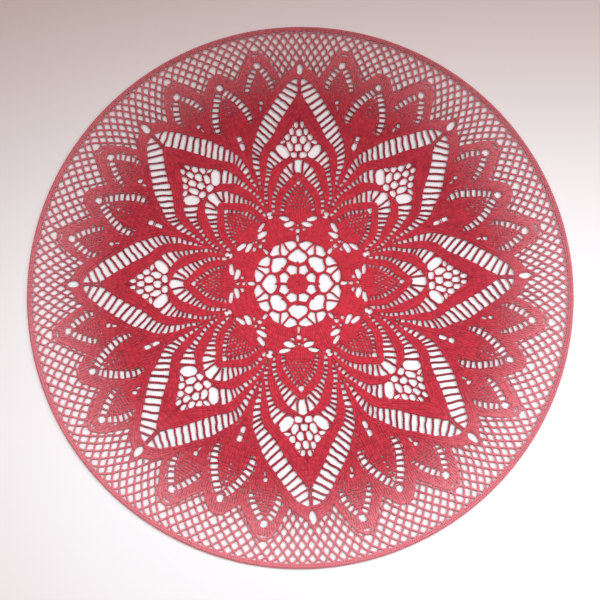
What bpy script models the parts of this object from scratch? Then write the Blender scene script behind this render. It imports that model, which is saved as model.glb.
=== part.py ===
"""A round crochet mandala, worked in one piece and stretched flat on a wire hoop.

The lace lies level. Its edging is wrapped round the hoop, and the edging's flat
underside rests on the surface. The pattern is eight petals in eight equal sectors.
It is charted for one half sector: x runs across from a petal's middle line, y runs
out along it, and the other half is its mirror image. Units are metres.
"""

import math

import bmesh
import bpy
from mathutils import Vector
from mathutils.geometry import delaunay_2d_cdt

MM = 0.001

# Driving sizes
HOOP_OUTER_RADIUS = 300.0 * MM
EDGING_HALF_WIDTH = 2.8 * MM
WIRE_HALF_WIDTH = 1.5 * MM
WIRE_CLEARANCE = 0.3 * MM
CLOTH_THICKNESS = 1.5 * MM
EDGING_SEAM = 0.3 * MM
SECTORS = 8
RIM_STEPS = 72
PETAL_STEP = 360.0 / SECTORS

HOOP_RADIUS = HOOP_OUTER_RADIUS - EDGING_HALF_WIDTH
MIDDLE_HEIGHT = EDGING_HALF_WIDTH
BORE_HALF_WIDTH = WIRE_HALF_WIDTH + WIRE_CLEARANCE

# How unevenly the lace was stretched: its pattern is turned a little, by an angle that
# changes round the hoop and grows outwards, and its middle sits off the hoop's.
TWIST_FULL_AT = 247.0 * MM
TWIST_GROWTH = 0.71
TWIST_STEADY_DEG = -1.40
TWIST_WAVES = (
    # waves round, cosine part and sine part in degrees
    (1, 1.77, -1.10),
    (2, -0.29, -0.05),
    (3, 0.20, -0.13),
)
PATTERN_OFF_CENTRE = (-1.2 * MM, 0.2 * MM)

# The long ladder that follows a petal's outer edge. Each row is one bar of the ladder:
# its number from the petal's tip, then its inner and its outer end in millimetres.
LONG_LADDER_BARS = (
    # bar, inner x, inner y, outer x, outer y
    (2, 3.6, 220.0, 17.5, 227.6),
    (3, 5.0, 211.8, 21.7, 221.6),
    (5, 15.0, 197.7, 29.5, 208.6),
    (7, 22.9, 183.9, 37.6, 195.4),
    (9, 30.2, 170.2, 44.6, 182.6),
)
LONG_LADDER_FIRST_GAP = 3
LONG_LADDER_GAPS = 7
LADDER_BAR_WIDTH = 2.2

# Gaps of the chart, in millimetres: where the middle is, how long and how wide the gap
# is, how far its length leans from the x axis, and how many corners it needs.
PAIRED_GAPS = (
    # x, y, length, width, lean in degrees, corners
    (9.4, 44.6, 13.6, 7.4, 34.0, 3),
    (9.9, 66.5, 10.6, 4.4, -14.0, 4),
    (18.9, 149.6, 16.4, 11.6, 35.0, 6),
    (26.0, 143.9, 15.0, 4.6, 42.0, 4),
    (4.9, 146.4, 7.2, 6.2, -25.0, 6),
    (9.4, 155.7, 9.4, 5.6, 78.0, 6),
    (4.4, 163.6, 8.6, 5.6, 78.0, 6),
    (50.9, 252.2, 8.6, 8.0, -101.0, 5),
)
AXIS_GAPS = (
    (0.0, 30.2, 18.6, 14.0, 0.0, 6),
    (0.0, 134.4, 15.4, 8.4, 90.0, 6),
    (0.0, 154.4, 6.8, 6.6, 90.0, 6),
    (0.0, 248.2, 15.2, 7.4, 90.0, 6),
)
# Gaps on the line between two petals: how far out, length outwards, width, corners.
BETWEEN_GAPS = (
    (16.6, 8.6, 9.4, 5),
    (82.6, 7.4, 8.0, 6),
    (243.2, 8.2, 8.0, 5),
)
TWO_SIDES = (1, -1)

OCTAGON_HALF_TURN_DEG = 22.5
INSIDE_ONLY = 1
MERGE_WITHIN = 1e-7

YARN_RED = (0.53, 0.025, 0.045, 1.0)
STEEL_GREY = (0.45, 0.45, 0.46, 1.0)


def clear_scene():
    """Start from an empty scene."""
    for thing in list(bpy.data.objects):
        bpy.data.objects.remove(thing, do_unlink=True)


def material(name, colour, roughness, metallic):
    """One plain finish."""
    finish = bpy.data.materials.new(name)
    finish.use_nodes = True
    shader = finish.node_tree.nodes["Principled BSDF"]
    shader.inputs["Base Color"].default_value = colour
    shader.inputs["Roughness"].default_value = roughness
    shader.inputs["Metallic"].default_value = metallic
    return finish


def place(x, y, sector):
    """Turn a chart point, in millimetres, into its place on the stretched lace."""
    radius = math.hypot(x, y) * MM
    charted = math.degrees(math.atan2(x, y)) + PETAL_STEP * sector
    turn = TWIST_STEADY_DEG
    for waves, cosine_part, sine_part in TWIST_WAVES:
        phase = math.radians(waves * charted)
        turn += cosine_part * math.cos(phase) + sine_part * math.sin(phase)
    turn *= (radius / TWIST_FULL_AT) ** TWIST_GROWTH
    angle = math.radians(charted + turn)
    slack = 1.0 - (radius / HOOP_OUTER_RADIUS) ** 3
    return Vector((radius * math.sin(angle) + slack * PATTERN_OFF_CENTRE[0],
                   radius * math.cos(angle) + slack * PATTERN_OFF_CENTRE[1]))


def gap_outline(x, y, length, width, lean, corners):
    """The corners of one gap, as chart points. Four corners make an oblong."""
    along = Vector((math.cos(math.radians(lean)), math.sin(math.radians(lean))))
    across = Vector((-along.y, along.x))
    middle = Vector((x, y))
    if corners == 4:
        signs = ((-1, -1), (1, -1), (1, 1), (-1, 1))
        return [middle + along * (a * length / 2) + across * (b * width / 2) for a, b in signs]
    outline = []
    for number in range(corners):
        angle = math.tau * number / corners
        step = along * (math.cos(angle) * length / 2) + across * (math.sin(angle) * width / 2)
        outline.append(middle + step)
    return outline


def ladder_bar(number):
    """Both ends of a bar of the long ladder, between the charted bars."""
    for low, high in zip(LONG_LADDER_BARS, LONG_LADDER_BARS[1:]):
        if number <= high[0]:
            break
    part = (number - low[0]) / (high[0] - low[0])
    ends = [a + (b - a) * part for a, b in zip(low[1:], high[1:])]
    return Vector(ends[:2]), Vector(ends[2:])


def ladder_gap(number):
    """The oblong gap between two bars of the long ladder."""
    (inner_a, outer_a), (inner_b, outer_b) = ladder_bar(number), ladder_bar(number + 1)
    inner_step = (inner_b - inner_a).normalized() * (LADDER_BAR_WIDTH / 2)
    outer_step = (outer_b - outer_a).normalized() * (LADDER_BAR_WIDTH / 2)
    return [inner_a + inner_step, inner_b - inner_step, outer_b - outer_step, outer_a + outer_step]


def sector_gaps():
    """Every gap of one sector, as chart points."""
    gaps = [gap_outline(*row) for row in AXIS_GAPS]
    halves = [gap_outline(*row) for row in PAIRED_GAPS]
    last_gap = LONG_LADDER_FIRST_GAP + LONG_LADDER_GAPS
    halves += [ladder_gap(number) for number in range(LONG_LADDER_FIRST_GAP, last_gap)]
    for outline in halves:
        for side in TWO_SIDES:
            gaps.append([Vector((side * point.x, point.y)) for point in outline])
    half_step = math.radians(PETAL_STEP / 2)
    for radius, length, width, corners in BETWEEN_GAPS:
        lean = 90.0 - PETAL_STEP / 2
        x = radius * math.sin(half_step)
        y = radius * math.cos(half_step)
        gaps.append(gap_outline(x, y, length, width, lean, corners))
    return gaps


def rim_point(step, across, height):
    """A point of the edging's section: across from the wire's middle, and up from it."""
    angle = math.tau * step / RIM_STEPS
    radius = HOOP_RADIUS + across
    return Vector((radius * math.cos(angle), radius * math.sin(angle), MIDDLE_HEIGHT + height))


def octagon(half_width):
    """The corners of an eight-sided section with level top and bottom faces."""
    half_side = half_width * math.tan(math.radians(OCTAGON_HALF_TURN_DEG))
    return [(half_width, half_side), (half_side, half_width), (-half_side, half_width),
            (-half_width, half_side), (-half_width, -half_side), (-half_side, -half_width),
            (half_side, -half_width), (half_width, -half_side)]


def edging_section():
    """From the lace's top, round the outside to the seam, round the bore and back."""
    outer = octagon(EDGING_HALF_WIDTH)
    bore = octagon(BORE_HALF_WIDTH)
    half_seam = EDGING_SEAM / 2
    half_cloth = CLOTH_THICKNESS / 2
    over = [(-EDGING_HALF_WIDTH, half_cloth)] + outer[3::-1] + [(EDGING_HALF_WIDTH, half_seam)]
    round_bore = [(BORE_HALF_WIDTH, half_seam)] + bore + [(BORE_HALF_WIDTH, -half_seam)]
    under = [(EDGING_HALF_WIDTH, -half_seam)] + outer[:3:-1] + [(-EDGING_HALF_WIDTH, -half_cloth)]
    return over + round_bore + under


def anticlockwise(outline):
    """The same outline, running anticlockwise."""
    turning = sum(a.x * b.y - b.x * a.y for a, b in zip(outline, outline[1:] + outline[:1]))
    return outline if turning > 0 else outline[::-1]


def lace_faces(mesh, rim_top):
    """Fill the lace's top face inside the rim, leaving the gaps open."""
    outlines = [[vertex.co.to_2d() for vertex in rim_top]]
    for sector in range(SECTORS):
        for gap in sector_gaps():
            outlines.append(anticlockwise([place(point.x, point.y, sector) for point in gap]))
    points = []
    loops = []
    for outline in outlines:
        loops.append(list(range(len(points), len(points) + len(outline))))
        points.extend(outline)
    filled = delaunay_2d_cdt(points, [], loops, INSIDE_ONLY, MERGE_WITHIN)
    places, triangles, came_from, sources = filled[0], filled[2], filled[3], filled[5]
    height = MIDDLE_HEIGHT + CLOTH_THICKNESS / 2
    vertices = []
    for place_2d, originals in zip(places, came_from):
        rim_index = [number for number in originals if number < len(rim_top)]
        if rim_index:
            vertices.append(rim_top[rim_index[0]])
        else:
            vertices.append(mesh.verts.new((place_2d.x, place_2d.y, height)))
    faces = []
    for corners, source in zip(triangles, sources):
        if all(number == 0 for number in source):
            faces.append(mesh.faces.new([vertices[corner] for corner in corners]))
    return faces


def add_object(name, mesh, finish):
    """Turn a bmesh into a named object."""
    bmesh.ops.recalc_face_normals(mesh, faces=mesh.faces)
    data = bpy.data.meshes.new(name)
    mesh.to_mesh(data)
    mesh.free()
    data.materials.append(finish)
    thing = bpy.data.objects.new(name, data)
    bpy.context.scene.collection.objects.link(thing)
    return thing


def join_rings(mesh, ring_a, ring_b):
    """Close the strip between two rings of points."""
    count = len(ring_a)
    for number in range(count):
        after = (number + 1) % count
        mesh.faces.new((ring_a[number], ring_a[after], ring_b[after], ring_b[number]))


def build_lace(finish):
    """The lace with its edging: one sheet that ends in a sleeve round the wire."""
    mesh = bmesh.new()
    rings = []
    for across, height in edging_section():
        rings.append([mesh.verts.new(rim_point(step, across, height)) for step in range(RIM_STEPS)])
    for ring_a, ring_b in zip(rings, rings[1:]):
        join_rings(mesh, ring_a, ring_b)
    top = lace_faces(mesh, rings[0])
    below = {}
    for ring_top, ring_bottom in zip(rings[0], rings[-1]):
        below[ring_top] = ring_bottom
    for face in top:
        for vertex in face.verts:
            if vertex not in below:
                below[vertex] = mesh.verts.new(vertex.co - Vector((0, 0, CLOTH_THICKNESS)))
    rim = set(rings[0])
    open_edges = {edge for face in top for edge in face.edges
                  if sum(other in top for other in edge.link_faces) == 1
                  and not (edge.verts[0] in rim and edge.verts[1] in rim)}
    for face in top:
        mesh.faces.new([below[vertex] for vertex in reversed(face.verts)])
    for edge in open_edges:
        start, end = edge.verts
        mesh.faces.new((start, end, below[end], below[start]))
    return add_object("lace_with_edging", mesh, finish)


def build_wire(finish):
    """The hoop: a closed ring of steel wire."""
    mesh = bmesh.new()
    rings = []
    for across, height in octagon(WIRE_HALF_WIDTH):
        rings.append([mesh.verts.new(rim_point(step, across, height)) for step in range(RIM_STEPS)])
    for ring_a, ring_b in zip(rings, rings[1:] + rings[:1]):
        join_rings(mesh, ring_a, ring_b)
    return add_object("hoop_wire", mesh, finish)


def main():
    clear_scene()
    yarn = material("red_cotton_yarn", YARN_RED, 0.85, 0.0)
    steel = material("steel_wire", STEEL_GREY, 0.4, 1.0)
    build_lace(yarn)
    build_wire(steel)


main()
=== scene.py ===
"""The looks of a red crochet mandala, stretched on a wire hoop and lying on a pale surface.

The lace is worked here in yarn: trebles, chains and joining knots, each a short closed
tube. Half a petal is charted in millimetres, with x across from the petal's middle line and
y out along it. The other half is its mirror image, and the petal is repeated eight times and
stretched as unevenly as the real piece is.
"""

import math

import bpy
import numpy as np
from mathutils import Matrix, Vector

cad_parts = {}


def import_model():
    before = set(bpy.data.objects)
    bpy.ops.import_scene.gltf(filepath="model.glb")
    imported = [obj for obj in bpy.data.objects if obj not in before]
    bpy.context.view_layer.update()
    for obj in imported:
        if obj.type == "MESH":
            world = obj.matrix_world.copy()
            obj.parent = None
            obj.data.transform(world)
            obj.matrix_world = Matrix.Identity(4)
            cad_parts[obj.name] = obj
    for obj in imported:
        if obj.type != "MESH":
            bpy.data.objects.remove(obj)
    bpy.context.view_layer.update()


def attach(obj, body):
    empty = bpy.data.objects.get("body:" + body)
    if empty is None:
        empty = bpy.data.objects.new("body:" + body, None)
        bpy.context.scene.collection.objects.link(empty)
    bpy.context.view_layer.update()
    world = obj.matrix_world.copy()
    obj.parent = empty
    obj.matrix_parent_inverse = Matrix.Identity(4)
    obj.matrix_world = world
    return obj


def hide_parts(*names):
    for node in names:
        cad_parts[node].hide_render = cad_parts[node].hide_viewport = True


MM = 0.001

# Sizes shared with the solids, in millimetres
HOOP_OUTER_RADIUS = 300.0
EDGING_HALF_WIDTH = 2.8
PETALS = 8
PETAL_STEP = 360.0 / PETALS
HALF_PETAL = PETAL_STEP / 2
HOOP_RADIUS = HOOP_OUTER_RADIUS - EDGING_HALF_WIDTH
MIDDLE_HEIGHT = EDGING_HALF_WIDTH

# How unevenly the lace is stretched, as in the solids
TWIST_FULL_AT = 247.0
TWIST_GROWTH = 0.71
TWIST_STEADY_DEG = -1.40
TWIST_WAVES = (
    # waves round, cosine part and sine part in degrees
    (1, 1.77, -1.10),
    (2, -0.29, -0.05),
    (3, 0.20, -0.13),
)
PATTERN_OFF_CENTRE = (-1.2, 0.2)
# The lace is held ever tighter towards the hoop: the power of the radius with which its slack
# is lost, and the power of that slack with which the hand's unevenness is lost
SLACK_POWER = 3
HAND_POWER = 0.3

# Small unevenness of hand work: each wave moves the stitches a little, in millimetres
HAND_WAVES = (
    # sideways, outwards, turns for each millimetre across, up, and where it starts
    (0.24, -0.10, 0.031, 0.012, 0.3),
    (-0.12, 0.22, -0.017, 0.037, 1.9),
    (0.22, 0.16, 0.071, 0.043, 4.1),
    (0.14, -0.26, -0.059, 0.083, 2.6),
    (0.24, 0.14, 0.037, -0.091, 5.3),
    (0.11, 0.06, 0.113, -0.067, 0.9),
    (-0.06, 0.13, 0.051, 0.127, 3.4),
)
HAND_SEED = 8

# How much the stitches differ in tone and in fullness, and how many spreads of it at most
TONE_SPREAD = 0.50
FULLNESS_SPREAD = 0.07
MOST_SPREADS = 2

# Yarn and stitches, in millimetres
TREBLE_WIDTH = 2.4
WIDEST_TREBLE = 1.25 * TREBLE_WIDTH
SHORTEST_TREBLE = 1.2
ROUND_HEIGHT = 6.1
CHAIN_PITCH = 2.3
# Fewest and most chains in one straight length, and points of a cord worked as one length
CHAINS_A_LENGTH = (2, 8)
CORD_RUN = 6
# Share of its thickness where the yarn is thin and where it is plump
CHAIN_PLUMPNESS = (0.80, 1.12)
CORD_PLUMPNESS = (0.85, 1.15)
RING_PLUMPNESS = (0.9, 1.1)
EDGE_CHAIN_PLUMPNESS = (0.80, 1.15)
# A joining knot: its places along it and its thickness there, as shares of its half width
KNOT_SHAPE = (
    (-1.0, 0.45),
    (0.0, 1.1),
    (1.0, 0.45),
)
KNOT_HEIGHT = 0.25
# Turns of a ring that closes with an overlap, and points of a ring and of half of one
RING_TURNS = 1.04
RING_POINTS = 17
HALF_RING_POINTS = 9
# A treble from foot to head: share of its height, sideways lean, height, share of its width
POST_SHAPE = (
    (-0.07, -0.10, -0.05, 0.42),
    (0.10, 0.12, 0.22, 0.55),
    (0.88, -0.12, 0.26, 0.55),
    (1.09, 0.08, 0.02, 0.44),
)
# The loop over its head: share of its width sideways, share of its width back, height, and
# half its thickness
LOOP_SHAPE = (
    (-0.52, 0.05, 0.34, 0.50),
    (0.00, -0.10, 0.46, 0.66),
    (0.52, 0.05, 0.34, 0.50),
)

# Rails of the petal: edges of its bands, from the petal's foot to its tip
BAND_1_INNER = (
    (20.4, 77.0), (19.5, 83.0), (18.3, 91.0), (17.3, 95.3), (14.8, 99.0), (12.2, 103.0),
    (9.0, 107.0), (6.0, 110.0), (2.8, 114.5), (0.0, 117.6),
)
BAND_1_OUTER = (
    (26.6, 78.0), (26.4, 87.0), (26.0, 93.0), (25.0, 97.0), (23.5, 102.0), (20.8, 107.0),
    (17.5, 110.0), (14.3, 113.5), (10.3, 117.5), (7.0, 121.5), (3.5, 125.0), (0.0, 126.5),
)
BAND_2_INNER = (
    (29.2, 80.0), (29.9, 88.0), (29.7, 93.0), (29.0, 98.5), (28.0, 102.5), (26.0, 107.0),
    (24.2, 112.3), (22.7, 117.0), (20.0, 123.0), (16.8, 130.3), (11.5, 135.6), (7.0, 138.6),
    (3.4, 140.6), (0.0, 142.2),
)
BAND_2_OUTER = (
    (33.2, 83.0), (33.6, 88.0), (34.5, 95.0), (35.0, 101.0), (35.0, 107.0), (34.3, 112.5),
    (33.0, 118.0), (31.5, 124.0), (30.5, 128.5), (28.0, 132.5), (25.0, 135.0), (21.5, 138.0),
    (17.0, 141.3), (12.0, 142.6), (8.0, 142.3), (5.0, 141.8), (2.5, 142.8), (0.0, 143.8),
)
BAND_3_INNER = (
    (37.4, 91.0), (38.0, 96.0), (39.0, 102.0), (38.5, 107.0), (37.5, 112.5), (37.3, 118.0),
    (37.0, 124.0), (36.3, 130.0), (35.5, 136.5), (34.8, 142.5), (32.5, 148.5), (29.0, 153.3),
    (26.0, 157.0), (21.7, 161.5), (16.3, 167.6), (11.0, 174.8), (7.0, 181.2), (4.4, 185.8),
)
BAND_3_OUTER = (
    (38.4, 92.0), (41.0, 100.0), (42.0, 107.0), (42.5, 113.5), (43.0, 119.5), (43.8, 125.5),
    (44.7, 131.5), (45.0, 137.5), (44.8, 144.0), (43.0, 151.0), (40.0, 156.5), (36.0, 161.0),
    (31.5, 167.0), (28.0, 173.0), (25.0, 180.5), (21.3, 187.0),
)
# Rows of trebles at the tip of the third band, from its middle to its edge
BAND_3_TIP = (
    # middle x, middle y, edge x, edge y
    (4.4, 185.8, 21.3, 187.0),
    (1.6, 189.2, 18.6, 191.9),
    (0.0, 193.5, 16.0, 196.5),
    (0.0, 199.5, 12.8, 201.4),
    (0.0, 205.5, 9.6, 206.0),
    (0.0, 211.0, 6.0, 211.5),
    (0.0, 216.5, 3.4, 216.5),
)
ARCH_INNER = (
    (43.5, 107.0), (45.0, 113.0), (46.0, 119.5), (48.0, 125.0), (50.5, 131.8), (52.0, 138.8),
    (53.0, 146.0), (53.5, 153.0), (52.0, 158.5), (50.0, 165.0), (47.5, 172.0), (45.5, 179.5),
    (42.5, 186.0), (39.5, 192.0), (35.0, 198.5), (31.0, 205.5), (27.0, 211.5), (23.5, 219.0),
    (18.5, 224.0), (15.0, 229.6), (10.0, 233.8), (6.0, 235.8), (3.0, 236.6), (0.0, 236.8),
)
ARCH_OUTER = (
    (44.3, 107.0), (46.8, 113.0), (49.3, 119.0), (51.8, 125.0), (54.6, 131.8), (57.5, 138.8),
    (59.5, 146.0), (60.0, 153.0), (58.5, 160.0), (56.5, 167.0), (54.0, 174.0), (51.8, 181.5),
    (49.0, 188.5), (45.5, 195.0), (41.0, 201.5), (37.0, 208.5), (33.0, 214.5), (29.3, 221.5),
    (26.0, 228.0), (23.0, 233.5), (20.0, 236.5), (16.5, 241.5), (12.0, 245.5), (8.0, 248.5),
    (5.0, 250.5), (0.0, 252.0),
)
# The petal's outline goes on from there down its middle line and along its foot
PETAL_FOOT = ((0.0, 79.0), (30.2, 73.0), (32.7, 79.0))
# Where the dense work ends and the diamond net begins, from the petal's tip to the next
NET_EDGE = (
    (5.0, 250.5), (8.0, 248.5), (12.0, 245.5), (16.5, 241.5), (20.0, 236.5), (23.0, 233.5),
    (26.0, 239.5), (31.0, 247.0), (36.0, 254.0), (41.0, 260.5), (46.5, 266.0), (52.5, 268.8),
    (57.5, 266.5), (61.5, 260.0), (64.5, 252.5), (67.5, 245.0), (70.5, 237.5), (73.0, 229.0),
    (77.5, 231.5), (83.0, 235.0), (89.0, 238.5), (94.0, 240.5), (98.9, 238.8),
)

# Gaps of the ladders between the bands, from the petal's foot to its tip
LADDER_1_GAPS = (
    # middle x, middle y, length across the ladder, lean in degrees
    (17.4, 79.3, 4.4, 8.0),
    (17.2, 83.4, 4.2, 12.0),
    (16.8, 87.6, 4.2, 20.0),
    (15.8, 91.8, 4.2, 28.0),
    (14.1, 95.9, 4.3, 36.0),
    (12.1, 100.0, 4.4, 40.0),
    (9.5, 103.9, 4.5, 44.0),
    (6.7, 107.6, 4.5, 50.0),
    (3.8, 111.0, 4.5, 58.0),
)
LADDER_2_GAPS = (
    (28.3, 81.7, 3.6, 0.0),
    (28.2, 87.5, 3.4, 5.0),
    (28.0, 93.0, 3.2, 15.0),
    (27.3, 98.0, 3.8, 25.0),
    (25.8, 102.3, 4.6, 35.0),
    (23.3, 107.0, 6.0, 42.0),
    (21.0, 111.5, 7.8, 42.0),
    (18.0, 115.6, 9.2, 42.0),
    (15.2, 120.2, 10.5, 43.0),
    (12.2, 126.0, 12.0, 46.0),
    (8.0, 131.2, 10.5, 64.0),
    (2.5, 133.8, 18.6, 92.5),
)
LADDER_3_GAPS = (
    (34.9, 85.5, 2.6, 0.0),
    (35.3, 91.0, 2.4, 0.0),
    (36.7, 96.5, 3.2, 0.0),
    (37.0, 101.5, 4.0, 0.0),
    (36.6, 107.0, 3.6, 0.0),
    (35.8, 112.3, 3.6, 5.0),
    (35.2, 118.0, 4.6, 8.0),
    (34.2, 124.0, 5.2, 12.0),
    (33.4, 128.5, 6.0, 20.0),
    (32.5, 133.6, 8.2, 34.0),
    (30.0, 138.3, 12.2, 41.0),
    (25.7, 144.0, 15.6, 39.0),
    (21.1, 148.3, 16.5, 46.0),
)
LONG_LADDER_GAPS = (
    # inner x, inner y, outer x, outer y
    (42.0, 107.8, 44.0, 107.4),
    (42.5, 113.5, 45.0, 113.0),
    (43.0, 120.0, 46.0, 119.5),
    (43.8, 125.5, 48.0, 125.0),
    (45.0, 131.5, 50.5, 131.8),
    (45.0, 137.5, 52.0, 138.8),
    (44.5, 142.0, 53.0, 146.0),
    (44.8, 147.0, 53.5, 153.0),
    (43.0, 151.0, 52.0, 158.5),
    (40.0, 156.5, 50.0, 165.0),
    (36.0, 161.0, 47.5, 172.0),
    (31.5, 167.0, 45.5, 179.5),
    (28.0, 173.0, 42.5, 186.0),
    (25.0, 180.5, 39.5, 192.0),
    (21.3, 187.0, 35.0, 198.5),
    (17.0, 194.5, 31.0, 205.5),
    (13.0, 201.0, 27.0, 211.5),
    (8.0, 208.0, 23.5, 219.0),
    (3.5, 216.0, 18.5, 224.0),
    (2.4, 224.5, 14.6, 230.3),
    (2.2, 232.0, 9.5, 235.6),
)
# Half thickness of a bar beside short gaps and beside long ones
BAR_GAPS = (4.0, 13.0)
BAR_HALVES = (1.32, 1.24)
# How far a bar reaches into the band on either side
BAR_REACH = 1.2
# How far a band's stitches stay inside its rails, so that the ladders' gaps stay open
BAND_INSET = 0.35

# Bars of the centre medallion, beside and on the petal's middle line or the line between two
MEDALLION_BARS = (
    # from x, y, to x, y, half thickness
    (0.0, 20.7, 9.95, 24.2, 1.5),
    (1.0, 19.9, 8.8, 21.9, 1.2),
    (12.2, 30.0, 8.8, 35.2, 1.35),
    (8.8, 35.2, 0.0, 40.8, 1.45),
    (8.9, 35.4, 18.6, 46.9, 1.05),
)
MEDALLION_MIDDLE_BARS = (
    (0.0, 11.5, 0.0, 21.4, 1.45),
    (0.0, 40.6, 0.0, 46.0, 1.5),
    (9.8, 23.6, 12.4, 30.1, 1.4),
)
MEDALLION_KNOTS = (
    # x, y, half width
    (0.0, 23.3, 1.5),
    (9.95, 24.3, 2.1),
    (12.2, 30.0, 1.4),
    (0.0, 42.4, 1.7),
    (8.8, 35.4, 1.4),
)
# Long stitches of the core: share of their length, height and half thickness, then how far
# from the middle each of the stitches in half a petal starts and ends
CORE_STITCH = (
    (0.0, 0.20, 0.45),
    (0.2, 0.34, 0.60),
    (0.4, 0.40, 0.70),
    (0.6, 0.40, 0.80),
    (0.8, 0.36, 0.84),
    (0.93, 0.25, 0.80),
    (1.0, 0.05, 0.66),
)
CORE_REACHES = (
    (0.5, 12.4),
    (4.0, 11.0),
    (2.5, 11.9),
    (4.0, 11.2),
)
ANNULUS_ROUNDS = (48.9, 54.0, 59.7, 66.2, 72.6, 79.2)
ANNULUS_EDGE = (
    (0.0, 46.0), (2.6, 46.6), (9.0, 48.9), (14.5, 49.1), (18.9, 46.0),
)
ANNULUS_EDGE_YARN = 1.05
# How far the cords at the annulus and at the petals' feet lie above the rest
FOOT_RISE = 0.1

# Gaps are a little squarer than ovals, and stitches beside them keep this far off
GAP_SQUARENESS = 2.5
GAP_MARGIN = 0.7

# Gaps in the dense work: middle, half length, half width, lean in degrees
ANNULUS_GAPS = (
    (0.0, 50.2, 4.5, 1.8, 90.0),
    (0.0, 58.7, 1.9, 1.6, 0.0),
    (0.0, 65.6, 1.5, 1.3, 90.0),
    (7.0, 61.0, 2.2, 1.5, -25.0),
    (10.3, 66.6, 6.3, 2.7, -16.0),
    (15.3, 73.0, 6.2, 2.3, 10.0),
    (31.6, 76.6, 4.0, 3.4, 67.5),
)
FAN_GAPS = (
    # beside the wedge's middle line
    (35.35, 85.35, 2.6, 1.5, 67.5),
    (64.3, 155.2, 4.2, 2.6, 67.5),
    (68.1, 164.4, 3.1, 2.9, 67.5),
    # the side fan
    (50.6, 251.8, 4.1, 3.9, 80.0),
    (44.6, 207.9, 2.4, 2.1, 0.0),
    (44.9, 201.2, 2.8, 1.2, 80.0),
    # the fan between the petals
    (93.1, 224.8, 3.8, 3.3, 67.5),
)
# Gaps of the fans' short ladders, from the fan's tip to its foot
SIDE_FAN_LEFT_GAPS = (
    # middle x, middle y, length across the ladder, lean in degrees
    (47.6, 250.6, -4.8, -44.0),
    (44.3, 246.5, -7.8, -44.0),
    (40.4, 241.9, -7.9, -42.0),
    (36.8, 236.9, -7.6, -39.0),
    (33.7, 231.8, -7.0, -34.0),
    (32.0, 226.6, -5.8, -26.0),
    (31.3, 221.8, -4.2, -18.0),
)
SIDE_FAN_RIGHT_GAPS = (
    (51.6, 250.4, 4.8, 38.0),
    (53.9, 245.2, 7.8, 30.0),
    (56.4, 239.7, 7.9, 22.0),
    (58.5, 233.9, 7.6, 13.0),
    (60.0, 228.0, 7.0, 6.0),
    (61.0, 222.5, 5.8, 1.0),
    (61.6, 217.5, 4.2, 0.0),
)
MIDDLE_FAN_GAPS = (
    (90.2, 222.0, -5.0, -62.0),
    (86.0, 219.3, -8.4, -58.0),
    (81.2, 216.2, -8.8, -54.0),
    (76.4, 212.6, -8.8, -50.0),
    (71.7, 208.6, -8.8, -46.0),
    (67.2, 204.2, -8.6, -42.0),
    (63.0, 199.6, -8.4, -40.0),
    (59.5, 194.6, -7.6, -34.0),
    (56.8, 189.2, -6.8, -28.0),
    (55.2, 183.6, -5.6, -22.0),
)
FAN_BAR_HALF = 1.24
# Stitches between the two ladders of the side fan, at its tip
FAN_TIP_BAR = ((49.0, 247.2), (48.9, 240.4))
FAN_TIP_BAR_HALF = 1.2
GAP_EDGE_YARN = 0.60
# Slope of the line between two petals, and how near to it a gap's middle counts as on it
MIDDLE_SLOPE = math.tan(math.radians(HALF_PETAL))
SLOPE_TOLERANCE = 0.001
# Stitches that join the petal's bands to the annulus
FOOT_EDGE = ((12.0, 79.0), (17.0, 78.2), (21.5, 76.6), (26.0, 77.6), (30.0, 77.5))
FOOT_YARN = 1.35
# Stitches that close the foot of the wedge: a chain up its middle line and one on each side
WEDGE_FOOT = ((36.4, 87.9), (46.8, 113.0))
WEDGE_SIDE = ((33.6, 81.0), (38.0, 91.5), (40.4, 100.0), (41.9, 106.5))
WEDGE_SIDE_YARN = 0.9
# Where the work is looser: middle, half length, half width, lean, fullness of the stitches
LOOSE_PATCHES = (
    (10.0, 242.5, 3.0, 2.4, 0.0, 0.45),
)
# Where the fans are worked in close mesh: middle, half length, half width, lean
MESH_PATCHES = (
    (49.3, 231.5, 15.0, 9.0, 88.0),
    (84.8, 206.0, 17.0, 11.0, 67.5),
)
# Radii of the mesh's first and last round, its rounds' height and its angle from knot to knot
MESH_ROUNDS = (192.0, 253.0, 3.1, 0.87)
MESH_MARGIN = 1.2
# Where it stays dense: middle, half length, half width, lean
DENSE_PATCHES = (
    (46.0, 205.0, 12.0, 10.0, 80.0),
    (76.0, 182.0, 12.0, 14.0, 67.5),
)
# Away from the middle all the work grows looser: radius where that starts and ends, fullness
LOOSER_FROM = 120.0
LOOSER_UNTIL = 215.0
OUTER_FULLNESS = 0.79
ARCH_FULLNESS = 0.84
ARCH_YARN = 0.95

# Honeycomb inside each petal: its cells and the large gap beside it, each by its middle, half
# length, half width and lean
HONEYCOMB_CELLS = (
    (0.0, 155.0, 4.5, 4.0, 90.0),
    (0.0, 173.2, 4.7, 3.1, 90.0),
    (5.5, 146.6, 4.2, 3.5, 0.0),
    (9.9, 156.6, 6.0, 3.6, 74.0),
    (4.9, 164.2, 5.0, 3.7, 90.0),
    (13.3, 167.4, 4.0, 3.2, 80.0),
    (8.2, 174.0, 4.1, 3.0, 82.0),
    (3.6, 182.1, 3.7, 2.3, 88.0),
    (18.3, 161.7, 3.7, 2.0, -14.0),
    (18.6, 150.8, 9.5, 5.5, 46.0),
)
HONEYCOMB_EDGE = (
    (0.0, 143.0), (8.0, 142.0), (18.3, 141.0), (23.6, 146.4), (29.3, 151.8), (21.7, 161.5),
    (16.3, 167.6), (11.0, 174.8), (7.0, 181.2), (4.4, 185.8), (1.6, 189.2), (0.0, 193.5),
)
HONEYCOMB_YARN = 0.60
HONEYCOMB_TIGHTNESS = 0.10
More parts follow.
